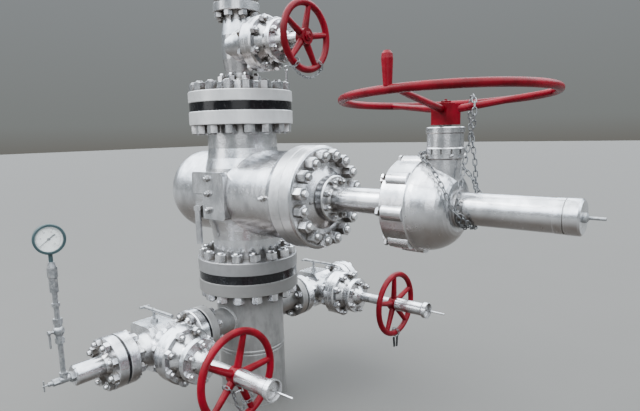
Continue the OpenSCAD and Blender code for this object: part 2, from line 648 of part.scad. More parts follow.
// A chain link of round wire between the two points where it meets its neighbours, its length along X
module link(span) {
    bend = (link_w - wire_d) / 2;
    straight = (span + wire_d + link_slack) / 2 - bend;
    for (s = [-1, 1]) {
        along_x(-straight - fit, s * bend) cylinder(h = 2 * (straight + fit), d = wire_d - 0.1, $fn = 16);
        translate([s * straight, 0, 0]) rotate([0, 0, -90 * s]) rotate_extrude(angle = 180, $fn = 32)
            translate([bend, 0]) circle(d = wire_d, $fn = 16);
    }
}

// Lengths along a closed row of points, and the point at a length
function chain_sum(p, n) = [for (k = 0, s = 0; k <= n;
    s = s + norm(p[(k + 1) % n] - p[k % n]), k = k + 1) s];
function find_leg(s, d, k = 0) = d < s[k + 1] ? k : find_leg(s, d, k + 1);
function at_length(p, s, d) = let (k = find_leg(s, d), t = (d - s[k]) / (s[k + 1] - s[k]))
    p[k] + t * (p[(k + 1) % len(p)] - p[k]);
// Cuts the corners of a closed row of points once
function rounded(p) = let (n = len(p)) [for (k = [0:n - 1]) for (t = [0.25, 0.75])
    p[k] + t * (p[(k + 1) % n] - p[k])];

// A loop of links along a closed row of points. Each link is turned a quarter from the one before.
module chain_loop(points, up) {
    p = rounded(rounded(rounded(points)));
    s = chain_sum(p, len(p));
    count = 2 * round(s[len(p)] / link_pitch / 2);
    meets = [for (k = [0:count - 1]) at_length(p, s, k * s[len(p)] / count)];
    for (k = [0:count - 1]) {
        a = meets[k];
        b = meets[(k + 1) % count];
        x = (b - a) / norm(b - a);
        side = cross(up, x);
        y = side / norm(side);
        z = cross(x, y);
        c = (a + b) / 2;
        multmatrix([[x[0], y[0], z[0], c[0]], [x[1], y[1], z[1], c[1]], [x[2], y[2], z[2], c[2]],
            [0, 0, 0, 1]]) rotate([k % 2 * 90, 0, 0]) link(norm(b - a));
    }
}

// Where the chain passes over a spoke
lock_r = 102;
lock_x = pinion_x + lock_r * cos(spoke_angles[1]);
lock_y = lock_r * sin(spoke_angles[1]);
lock_z = hub_z + hub_h - 22;
// A corner of the chain's arch over the spoke; its two strands hang below the arch
arch_r = 50;
arch = arch_r / cos(22.5);
function over_spoke(a) = [lock_x + arch * cos(a) * sin(spoke_angles[1]),
    lock_y - arch * cos(a) * cos(spoke_angles[1]), lock_z + arch * sin(a)];
// Corners round the stem cover that keep the chain's middle line just clear of it
wrap_gap = 1.4;
wrap = (cover_r + link_w / 2 + wrap_gap) / cos(22.5);
function round_cover(a, x, sink = 0) = [cover_x + x, (sink - wrap) * sin(a),
    stem_z + (wrap - sink) * cos(a)];

module main_lock_chain() color("gray") {
    chain_loop(concat([for (k = [0:3]) over_spoke(157.5 - 45 * k)],
        [over_spoke(0) - [0, 0, arch_r], [cover_x + 18, 15, stem_z + 277],
        [cover_x + 11, -6, stem_z + 200], [cover_x + 8, -32, stem_z + 128]],
        [for (k = [0:5]) round_cover(67.5 + 45 * k, 14 + 1 * k)],
        [[cover_x + 22, 66, stem_z + 128], [cover_x + 12, 72, stem_z + 200],
        over_spoke(180) - [0, 0, arch_r]]), [cos(spoke_angles[1]), sin(spoke_angles[1]), 0]);
    chain_loop(concat([
        [cover_x + 10, -112, stem_z + 2], [cover_x - 4, -127, stem_z + 56],
        [cover_x - 30, -128, stem_z + 106], [cover_x - 76, -110, stem_z + 160],
        [cover_x - 119, -98, stem_z + 196], [pinion_x - 92, -60, stem_z + 218],
        [pinion_x - 92, 50, stem_z + 218], [pinion_x - 34, 104, stem_z + 200],
        [pinion_x + 40, 112, stem_z + 150], [cover_x + 18, 112, stem_z + 62],
        [cover_x + 42, 98, stem_z + 16]],
        [for (k = [0:3]) round_cover(247.5 - 45 * k, 46 + 2 * k, 1.6)]), [1, 0, 1]);
}

casing_pipe();
casing_head();
lower_joint_band();
master_body();
drain_pipe();
master_bonnet();
gland_flange();
yoke_tube();
gearbox_housing();
pinion_column();
pinion_collar();
main_handwheel();
main_wheel_grip();
stem_cover();
stem_cover_cap();
indicator_rod();
upper_joint_band();
adapter_flange();
top_valve_body();
top_bonnet();
top_handwheel();
top_blind_flange();
left_valve_body();
left_bonnet();
left_handwheel();
left_stem_cap();
right_valve_body();
right_bonnet();
right_handwheel();
right_stem_cap();
side_joint_bands();
left_end_flange();
right_blind_flange();
bleed_fittings();
gauge_tee();
needle_valve();
gauge_riser();
gauge_cock();
cock_lever();
gauge_reducer();
gauge_case();
gauge_dial();
gauge_pointer();
main_lock_chain();
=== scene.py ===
import bpy
import bmesh
import json
import math
import random
from mathutils import Matrix, Vector


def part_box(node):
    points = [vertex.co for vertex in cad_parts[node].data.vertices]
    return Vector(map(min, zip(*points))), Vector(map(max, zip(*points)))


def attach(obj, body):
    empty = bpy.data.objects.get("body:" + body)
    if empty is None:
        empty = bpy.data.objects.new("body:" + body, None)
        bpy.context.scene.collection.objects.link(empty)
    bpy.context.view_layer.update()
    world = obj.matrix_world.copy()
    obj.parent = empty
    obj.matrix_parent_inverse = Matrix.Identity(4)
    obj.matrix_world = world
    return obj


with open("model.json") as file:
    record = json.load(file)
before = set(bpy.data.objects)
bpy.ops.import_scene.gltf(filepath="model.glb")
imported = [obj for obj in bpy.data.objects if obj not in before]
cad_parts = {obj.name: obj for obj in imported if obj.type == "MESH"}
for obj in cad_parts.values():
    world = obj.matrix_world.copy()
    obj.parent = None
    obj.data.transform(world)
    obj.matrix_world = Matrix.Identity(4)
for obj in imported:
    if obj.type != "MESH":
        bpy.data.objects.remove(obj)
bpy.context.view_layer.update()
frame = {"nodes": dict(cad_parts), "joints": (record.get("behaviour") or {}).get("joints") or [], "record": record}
joint_at = {j["name"]: Vector(j["pos_m"]) for j in frame["joints"]}

# The photo's camera, in pixels, metres and degrees
IMAGE_W, IMAGE_H = 640, 411
FOCAL_PX = 528.72
MIDDLE_V = 223.70
CAMERA_AT = (2.17295, -1.94827, 1.47947)
CAMERA_TURN, CAMERA_PITCH, CAMERA_ROLL = 40.108, 9.7206, -1.349
SENSOR_MM = 36
NEAREST, FURTHEST = 0.05, 200

# The lowest and the highest corner of the CAD pieces that carry small ones, and heights from them
LOW_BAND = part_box("lower_joint_band")
HIGH_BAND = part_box("upper_joint_band")
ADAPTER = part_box("adapter_flange")
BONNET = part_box("master_bonnet")
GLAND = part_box("gland_flange")
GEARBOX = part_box("gearbox_housing")
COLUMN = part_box("pinion_column")
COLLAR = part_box("pinion_collar")
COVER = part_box("stem_cover")
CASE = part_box("gauge_case")
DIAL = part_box("gauge_dial")
TOP_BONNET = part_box("top_bonnet")
STEM_Z = (COVER[0].z + COVER[1].z) / 2
DIAL_Z = (DIAL[0].z + DIAL[1].z) / 2
TOP_Z = joint_at["top_wheel_turn"].z
SIDE_Z = joint_at["left_wheel_turn"].z
SIDE_Y = joint_at["right_wheel_turn"].y

# The source's sizes that the boxes don't give, in metres: the big valve and the casing
FLANGE_T = 0.068
BONNET_T = 0.070
RAISED_FACE = 0.004
LUG_X, LUG_Y = -0.025, 0.235
LUG_SCREW_HEIGHTS = (0.089, 0.010, -0.076)
BOSS_BACK = 0.008
HUB_ABOVE_COLLAR, SCREWS_BELOW_COLLAR = 0.006, 0.008
CASING_R = 0.184
NOZZLE_R = 0.072

# The small valves and their wheels, whose stems lie along X
SMALL_VALVE_L = 0.435
SMALL_FLANGE_T = 0.046
SMALL_JOINT_X = 0.190
SMALL_BONNET_T = 0.038
SMALL_HUB_L = 0.072
SMALL_GLAND_T = 0.024
SMALL_GLAND_FRONT = SMALL_JOINT_X + SMALL_BONNET_T + SMALL_HUB_L + SMALL_GLAND_T
SMALL_RIM_R = 0.016
SMALL_SPOKE_R = 0.0155
SMALL_DISH = 0.010
STEM_PAST_HUB = 0.012
SIDE_GAP, TOP_GAP = 0.012, 0.024

# The gauge, in degrees and metres
GAUGE_TURN = 14
DIAL_ZERO, DIAL_SWEEP = 225, 270
DIAL_STEPS, STEPS_PER_NUMBER = 50, 10
DIAL_AHEAD = 0.0125
DIAL_RING_R = 0.0455
NUMBER_R, NUMBER_SIZE = 0.0300, 0.0078
POINTER_TAIL = 36

# Nuts and their studs: width across flats, height, diameter of the stud, and its end beyond the nut
MAIN_NUT = (0.054, 0.040, 0.034, 0.009)
UPPER_NUT = (0.054, 0.042, 0.034, 0.004)
BONNET_NUT = (0.054, 0.046, 0.034, 0.016)
GLAND_NUT = (0.028, 0.019, 0.016, 0.012)
LUG_NUT = (0.030, 0.014, 0.018, 0.007)
COLLAR_SCREW = (0.014, 0.009, 0.008, 0.004)
BIG_WHEEL_BOLT = (0.034, 0.008, 0.012, 0.001)
TOP_WHEEL_NUT = (0.040, 0.020, 0.022, 0.004)
SMALL_NUT = (0.041, 0.025, 0.025, 0.014)
LOW_NUT = (0.041, 0.020, 0.025, 0.003)
SMALL_BONNET_NUT = (0.036, 0.026, 0.022, 0.014)
SMALL_BONNET_BACK = (0.036, 0.020, 0.022, 0.006)
SMALL_GLAND_NUT = (0.030, 0.021, 0.018, 0.012)

# Circles of bolts: radius, number of bolts, and the first one's angle
FLANGE_CIRCLE = (0.235, 16, 11.25)
BONNET_CIRCLE = (0.203, 16, 11.25)
GLAND_CIRCLE = (0.086, 8, 22.5)
SMALL_CIRCLE = (0.09525, 8, 22.5)
SMALL_BONNET_CIRCLE = (0.1165, 8, 22.5)
SMALL_GLAND_CIRCLE = (0.083, 6, 30)
GEARBOX_CIRCLE = (0.084, 6, 30)
GEARBOX_BOSSES, GEARBOX_START = 8, -86

# Bolt heads on the gearbox: distance from the stem, width across flats, height
BACK_HEAD = (0.168, 0.030, 0.018)
BOSS_HEAD = (0.193, 0.024, 0.012)

# The heads on the gearbox's inner circle: width across flats, height
INNER_HEAD = (0.022, 0.013)

# Washers, as turned profiles of radius and height
LUG_WASHER = [(0, 0), (0.018, 0), (0.018, 0.0025), (0.017, 0.003), (0, 0.003)]
WHEEL_WASHER = [(0, 0), (0.034, 0), (0.034, 0.004), (0.033, 0.005), (0, 0.005)]

# Grease fittings: x, distance from the middle plane, z, width across flats, length
BODY_FITTINGS = [(0.370, 0.222, STEM_Z + 0.006, 0.026, 0.034), (0.581, 0.100, STEM_Z - 0.011, 0.020, 0.028),
                 (-0.011, 0.183, 0.965, 0.017, 0.012)]

# The weld beads: points along one, radius of the bead, height of its ripples, and its unevenness
WELD_POINTS, WELD_R, WELD_RIPPLE, WELD_CHANCE = 96, 0.0085, 0.0012, 0.0005

# The rod on the adapter flange: its place, its radius, its reach above and below the face, and its eye
ROD_X, ROD_Y = 0.198, 0.150
ROD_R, ROD_L, ROD_SUNK = 0.006, 0.108, 0.002
ROD_NUT = (0.022, 0.014)
EYE_R, EYE_WIRE_R, EYE_ABOVE_ROD = 0.011, 0.0035, 0.010

# Thin chains: distance between links, width of a link, and its wire
TOP_CHAIN = (0.019, 0.015, 0.0036)
LEFT_CHAIN = (0.020, 0.016, 0.004)
RIGHT_CHAIN = (0.018, 0.014, 0.0032)

# Colours that a finish shows in some places only, among them painted shade below, in hollows and on the low rims,
# and zinc's darkest and lightest
SPOT_BROWN = (0.17, 0.14, 0.115)
UNDERSIDE_SHADE = (0.20, 0.162, 0.138)
HOLLOW_SHADE_AND_GRIME = (0.13, 0.115, 0.10)
WORN_EDGE = (0.86, 0.87, 0.89)
RIM_GREY = (0.46, 0.455, 0.445)
LOW_RIM_SHADE = (0.11, 0.106, 0.10)
ZINC_DARK = (0.30, 0.31, 0.325)
ZINC_LIGHT = (0.50, 0.51, 0.52)

# Angle of the tape's wave for each metre of height: one turn of tape covers 21 mm
TAPE_TURNS = 2 * math.pi / 0.021

# Radii between which the turned rims lie, round the well and round the big stem
FLANGE_RIM = (0.2700, 0.2750)
BONNET_RIM = (0.2470, 0.2485)

# The studio's light by height: sine of the elevation, and the colour there at full strength
SKY_STRENGTH = 6.3
SKY_BANDS = [(-1.0, (0.018, 0.016, 0.013)), (-0.05, (0.022, 0.020, 0.017)), (0.02, (0.032, 0.034, 0.033)),
             (0.29, (0.042, 0.045, 0.047)), (0.38, (0.45, 0.50, 0.55)), (0.55, (0.86, 0.93, 1.0)),
             (1.0, (0.92, 0.97, 1.0))]

# Area lights: name, place, what it looks at, width and height, power, colour
LIGHTS = [("key", (-2.5, -3.5, 6.5), (0.3, 0, 1.2), (3, 3), 250, (1.0, 0.99, 0.97)),
          ("fill", (4.6, -4.6, 3.0), (0.4, 0, 1.0), (4, 3), 70, (0.95, 0.97, 1.0)),
          ("side", (-2.2, -4.6, 2.4), (0.1, -0.2, 1.1), (2.4, 2.0), 40, (0.97, 0.98, 1.0))]

# The floor: half its width, and the two colours that cloud it
FLOOR_REACH = 60.0
FLOOR_COLOURS = (0.082, 0.079, 0.074), (0.095, 0.092, 0.087)

# The way that the valve stems point, and the place that moves nothing
AHEAD = Vector((1, 0, 0))
STILL = Matrix.Identity(4)


class Shade:
    """The output of a node. Arithmetic on it adds Math nodes."""

    def __init__(self, maker, socket):
        self.maker, self.socket = maker, socket

    def math(self, operation, *values):
        return self.maker.node("ShaderNodeMath", {"operation": operation}, dict(enumerate(values)))

    def __add__(self, other):
        return self.math("ADD", self, other)

    __radd__ = __add__

    def __sub__(self, other):
        return self.math("SUBTRACT", self, other)

    def __rsub__(self, other):
        return self.math("SUBTRACT", other, self)

    def __mul__(self, other):
        return self.math("MULTIPLY", self, other)

    __rmul__ = __mul__

    def highest(self, other):
        return self.math("MAXIMUM", self, other)

    def root(self):
        return self.math("SQRT", self)

    def step(self, low, high):
        """0 below low and 1 above high, smooth between them."""
        return self.maker.node("ShaderNodeMapRange", {"interpolation_type": "SMOOTHSTEP"},
                               {"Value": self, "From Min": low, "From Max": high})

    def between(self, low, high, soft):
        """1 from low to high, 0 outside."""
        return self.step(low - soft, low + soft) * (1 - self.step(high - soft, high + soft))


class NodeMaker:
    """Adds nodes to the node tree of a finish or of the sky."""

    def __init__(self, tree):
        self.tree = tree

    def node(self, kind, settings=None, inputs=None, out=0):
        """One output of a new node. Its settings are set before its sockets are fed."""
        made = self.tree.nodes.new(kind)
        for key, value in (settings or {}).items():
            if key == "stops":
                self.set_stops(made.color_ramp.elements, value)
            else:
                setattr(made, key, value)
        for key, value in (inputs or {}).items():
            self.feed(made.inputs[key], value)
        return Shade(self, made.outputs[out])

    def feed(self, socket, value):
        """A link from a shade, or a plain value."""
        if isinstance(value, Shade):
            self.tree.links.new(value.socket, socket)
        else:
            socket.default_value = value

    def set_stops(self, elements, stops):
        while len(elements) < len(stops):
            elements.new(0.5)
        for element, (position, colour) in zip(elements, stops):
            element.position = position
            element.color = (*colour, 1)


class Finish(NodeMaker):
    """A procedural material round one Principled shader. fixed holds what is the same all over."""

    def __init__(self, name, **fixed):
        self.material = bpy.data.materials.new(name)
        self.material.use_nodes = True
        super().__init__(self.material.node_tree)
        self.shader = self.tree.nodes["Principled BSDF"]
        self.set(**fixed)
        self.place = self.node("ShaderNodeTexCoord", out="Object")
        self.x, self.y, self.z = (self.part(self.place, axis) for axis in "XYZ")

    def set(self, **values):
        """Feeds the shader's sockets, named with _ for a space."""
        for name, value in values.items():
            self.feed(self.shader.inputs[name.replace("_", " ")], value)
        return self.material

    def part(self, vector, axis):
        return self.node("ShaderNodeSeparateXYZ", inputs={"Vector": vector}, out=axis)

    def noise(self, scale, detail=4.0, rough=0.55, stretch=None):
        place = self.place
        if stretch:
            place = self.node("ShaderNodeMapping", inputs={"Vector": place, "Scale": stretch})
        inputs = {"Vector": place, "Scale": scale, "Detail": detail, "Roughness": rough}
        return self.node("ShaderNodeTexNoise", inputs=inputs, out="Fac")

    def spangle(self, scale):
        """Cells, each of its own value."""
        cells = self.node("ShaderNodeTexVoronoi", {"feature": "F1"},
                          {"Vector": self.place, "Scale": scale}, out="Color")
        return self.node("ShaderNodeSeparateColor", inputs={"Color": cells}, out="Red")

    def mix(self, a, b, factor):
        """Colour a where factor is 0 and b where it is 1."""
        a, b = ((*c, 1) if isinstance(c, tuple) else c for c in (a, b))
        return self.node("ShaderNodeMix", {"data_type": "RGBA", "blend_type": "MIX"},
                         {0: factor, 6: a, 7: b}, out=2)

    def facing_up(self):
        """1 on what faces up, 0 on upright faces, -1 on what faces down."""
        return self.part(self.node("ShaderNodeNewGeometry", out="Normal"), "Z")

    def open_share(self, reach, inside):
        return self.node("ShaderNodeAmbientOcclusion", {"samples": 6, "inside": inside},
                         {"Distance": reach}, out="AO")

    def hollows(self, reach):
        """1 in corners and crevices that lie within reach of another surface, 0 in the open."""
        return 1 - self.open_share(reach, False).step(0.35, 0.85)

    def ridges(self, reach):
        """1 along sharp outer edges, where paint wears."""
        return 1 - self.open_share(reach, True).step(0.35, 0.75)

    def bump(self, *layers):
        """One normal from layers of (height, distance in metres)."""
        normal = None
        for height, distance in layers:
            inputs = {"Height": height, "Distance": distance, "Strength": 1.0}
            if normal:
                inputs["Normal"] = normal
            normal = self.node("ShaderNodeBump", inputs=inputs)
        return normal


def silver_paint(name, bright, dark, grime_and_shade, shine, cast, flake, rims=None):
    """Aluminium paint on cast or forged steel: brushed on in patches, darker below with painted shade, and darker
    in hollows with painted shade and grime.

    The first number after the colours scales the brown of the stains and of the painted shade and grime in
    hollows, shine is added to the roughness, cast scales the unevenness, flake is the share of metal, and rims
    gives the masks of two duller places, the lower one also painted dark as painted shade.
    """
    f = Finish(name, Specular_IOR_Level=0.5)
    patches = f.noise(5.0, 5.0, 0.6)
    brushed = f.noise(22.0, 6.0, 0.65, stretch=(1.0, 1.0, 0.45))
    fine = f.noise(160.0, 3.0, 0.6)
    tone = (patches * 0.5 + brushed * 0.5).step(0.41, 0.59)
    spots = f.noise(38.0, 6.0, 0.7).step(0.60, 0.76) * brushed.step(0.45, 0.65)
    # Painted shade: faces that point down are darkened towards brown.
    below = (0 - f.facing_up()).step(-0.12, 0.5) * (0.55 + brushed * 0.55)
    worn = f.ridges(0.006)
    # Painted shade with some grime: corners and crevices within reach of another surface are darkened towards
    # brown.
    hollow = f.hollows(0.055) * (0.55 + patches * 0.8)
    colour = f.mix(dark, bright, tone)
    colour = f.mix(colour, SPOT_BROWN, spots * grime_and_shade)
    colour = f.mix(colour, UNDERSIDE_SHADE, below)
    colour = f.mix(colour, WORN_EDGE, worn * 0.5)
    colour = f.mix(colour, HOLLOW_SHADE_AND_GRIME, hollow * grime_and_shade)
    rough = 0.17 + shine + patches * 0.14 + spots * 0.25 + fine * 0.05 + hollow * 0.1
    metal = flake - spots * 0.45 - hollow * 0.3
    if rims:
        upper, lower = rims(f)
        colour = f.mix(colour, RIM_GREY, upper * (0.45 + brushed * 0.5))
        # Painted shade: the low rims are painted much darker.
        colour = f.mix(colour, LOW_RIM_SHADE, lower * (0.65 + brushed * 0.3))
        rough = rough + (upper + lower) * 0.16
        metal = metal - (upper + lower) * 0.5
    skin = (f.noise(13.0, 4.0, 0.55), 0.0016 * cast)
    pits = (f.noise(62.0, 4.0, 0.6), 0.00042 * cast)
    grain = (f.noise(300.0, 2.0, 0.5), 0.00004)
    return f.set(Base_Color=colour, Roughness=rough, Metallic=metal, Normal=f.bump(skin, pits, grain))


def flange_rims(f):
    """Masks of the turned rims, whose paint is thinner: the upper ones, and the low ones, which are also given
    painted shade.
    """
    well = (f.x * f.x + f.y * f.y).root()
    stem = (f.y * f.y + (f.z - STEM_Z) * (f.z - STEM_Z)).root()
    half = BONNET_T + 0.0005
    bonnet = stem.step(*BONNET_RIM) * f.x.between(BONNET[0].x - half, BONNET[0].x + half, 0.001)
    reach = FLANGE_T + 0.002
    low, high = (f.z.between(band[0].z - reach, band[1].z + reach, 0.001) for band in (LOW_BAND, HIGH_BAND))
    turned = well.between(*FLANGE_RIM, 0.0008)
    return (turned * high).highest(bonnet * 0.4), turned * low


def red_enamel():
    """Thick red enamel, brushed on, chipped at the edges and dusty on top."""
    f = Finish("red_enamel", Specular_IOR_Level=0.12)
    patches = f.noise(9.0, 5.0, 0.6)
    dust = f.facing_up().step(0.35, 0.95) * f.noise(18.0, 5.0, 0.65).step(0.35, 0.7)
    chips = f.noise(70.0, 6.0, 0.7).step(0.62, 0.68) * f.ridges(0.008)
    colour = f.mix((0.080, 0.0, 0.003), (0.165, 0.0, 0.008), patches.step(0.3, 0.7))
    colour = f.mix(colour, (0.36, 0.06, 0.06), dust * 0.12)
    colour = f.mix(colour, (0.20, 0.17, 0.16), chips * 0.8)
    return f.set(Base_Color=colour, Roughness=0.36 + patches * 0.14 + dust * 0.1 + chips * 0.2,
                 Coat_Weight=0.06 - dust * 0.04,
                 Normal=f.bump((f.noise(34.0, 4.0, 0.55), 0.0008), (f.noise(300.0, 3.0, 0.6), 0.00006)))


def black_tape():
    """Glossy black sealing tape wound round a flange gap, its turns lying a little unevenly."""
    f = Finish("black_tape", Specular_IOR_Level=0.35)
    wave = f.noise(6.0, 3.0, 0.5)
    turns = (f.z * TAPE_TURNS + wave * 4.0).math("SINE")
    dust = f.noise(60.0, 5.0, 0.7).step(0.5, 0.75)
    colour = f.mix((0.004, 0.004, 0.005), (0.020, 0.019, 0.018), dust * 0.4)
    return f.set(Base_Color=colour, Roughness=0.14 + dust * 0.35 + turns.step(0.2, 1.0) * 0.1,
                 Normal=f.bump((turns, 0.0013), (f.noise(14.0, 2.0, 0.5), 0.0012)))


def zinc(name, tone):
    """Galvanised steel with a faint spangle and brown stains. tone scales its lightness."""
    f = Finish(name, Specular_IOR_Level=0.5)
    spangle = f.spangle(120.0)
    stain = f.noise(48.0, 6.0, 0.7).step(0.54, 0.7)
    dark, light = (tuple(c * tone for c in colour) for colour in (ZINC_DARK, ZINC_LIGHT))
    colour = f.mix(f.mix(dark, light, spangle), (0.13, 0.095, 0.07), stain * 0.6)
    return f.set(Base_Color=colour, Roughness=0.34 + spangle * 0.16 + stain * 0.3,
                 Metallic=0.85 - stain * 0.55,
                 Normal=f.bump((f.noise(90.0, 3.0, 0.55), 0.0003), (spangle, 0.00003)))


def gauge_paint():
    """The gauge's dark green-grey case, lighter along its edges."""
    f = Finish("gauge_case_enamel", Specular_IOR_Level=0.5)
    patches = f.noise(30.0, 4.0, 0.6)
    colour = f.mix((0.012, 0.030, 0.034), (0.035, 0.065, 0.07), patches)
    colour = f.mix(colour, (0.25, 0.27, 0.27), f.ridges(0.003) * 0.4)
    return f.set(Base_Color=colour, Roughness=0.25 + patches * 0.2, Normal=f.bump((f.noise(200.0), 0.00006)))


def flat_enamel(name, colour, other, rough):
    """Flat enamel, clouded between two near colours."""
    f = Finish(name, Specular_IOR_Level=0.4)
    cloud = f.noise(40.0, 4.0, 0.6)
    return f.set(Base_Color=f.mix(colour, other, cloud), Roughness=rough + cloud * 0.08,
                 Normal=f.bump((f.noise(400.0), 0.00004)))


def glass():
    """The gauge's thin window, a little smeared."""
    f = Finish("window_glass", Roughness=0.06, IOR=1.3, Alpha=0.16, Specular_IOR_Level=0.5)
    smear = f.noise(30.0, 4.0, 0.6).step(0.5, 0.8)
    return f.set(Base_Color=f.mix((0.85, 0.9, 0.9), (0.7, 0.7, 0.66), smear), Alpha=0.10 + smear * 0.10,
                 Normal=f.bump((f.noise(60.0), 0.00004)))


BRIGHT = silver_paint("bright_silver_paint", (0.82, 0.83, 0.86), (0.50, 0.51, 0.53),
                      grime_and_shade=0.9, shine=-0.02, cast=0.9, flake=0.95, rims=flange_rims)
DULL = silver_paint("dull_silver_paint", (0.27, 0.267, 0.262), (0.19, 0.187, 0.183),
                    grime_and_shade=0.6, shine=0.25, cast=0.8, flake=0.6, rims=flange_rims)
FASTENER = silver_paint("painted_fastener", (0.84, 0.85, 0.88), (0.34, 0.345, 0.36),
                        grime_and_shade=1.4, shine=-0.02, cast=0.4, flake=0.94)
RED = red_enamel()
TAPE = black_tape()
ZINC = zinc("galvanised", 0.7)
CHAIN = zinc("chain_zinc", 0.42)
CASE_PAINT = gauge_paint()
WHITE = flat_enamel("dial_enamel", (0.80, 0.80, 0.78), (0.70, 0.70, 0.67), 0.45)
BLACK = flat_enamel("printed_black", (0.008, 0.008, 0.009), (0.02, 0.02, 0.02), 0.4)
GLASS = glass()

SILVER_SLOT = "bright_silver_paint"
SLOT_FINISH = {SILVER_SLOT: BRIGHT, "dull_silver_paint": DULL, "black_wrap": TAPE, "red_paint": RED,
               "zinc_plated": ZINC, "gauge_case_paint": CASE_PAINT, "dial_white": WHITE,
               "pointer_black": BLACK}
slot_of = {s["node"]: s["material_slot"] for s in frame["record"]["subparts"]}

for name, obj in frame["nodes"].items():
    obj.data.materials.clear()
    obj.data.materials.append(CHAIN if name == "main_lock_chain" else SLOT_FINISH[slot_of[name]])


def circle(count):
    """The angles of count points, evenly round a circle."""
    return [2 * math.pi * k / count for k in range(count)]


def polar(radius, angle, z=0.0):
    return radius * math.cos(angle), radius * math.sin(angle), z


def shift(x, y, z):
    return Matrix.Translation((x, y, z))


def spin(angle, axis="Z"):
    return Matrix.Rotation(angle, 4, axis)


def facing(axis):
    """A turn that lays the Z axis along another."""
    return Vector(axis).to_track_quat("Z", "Y").to_matrix().to_4x4()


def around(centre, axis, bolts):
    """Places spaced round a circle of bolts, each with its Z axis along the circle's axis."""
    radius, count, start = bolts
    for k in range(count):
        a = math.radians(start + 360 * k / count)
        yield shift(*centre) @ facing(axis) @ shift(*polar(radius, a))


def in_scene(name, data):
    """A new object in the scene."""
    obj = bpy.data.objects.new(name, data)
    bpy.context.scene.collection.objects.link(obj)
    return obj


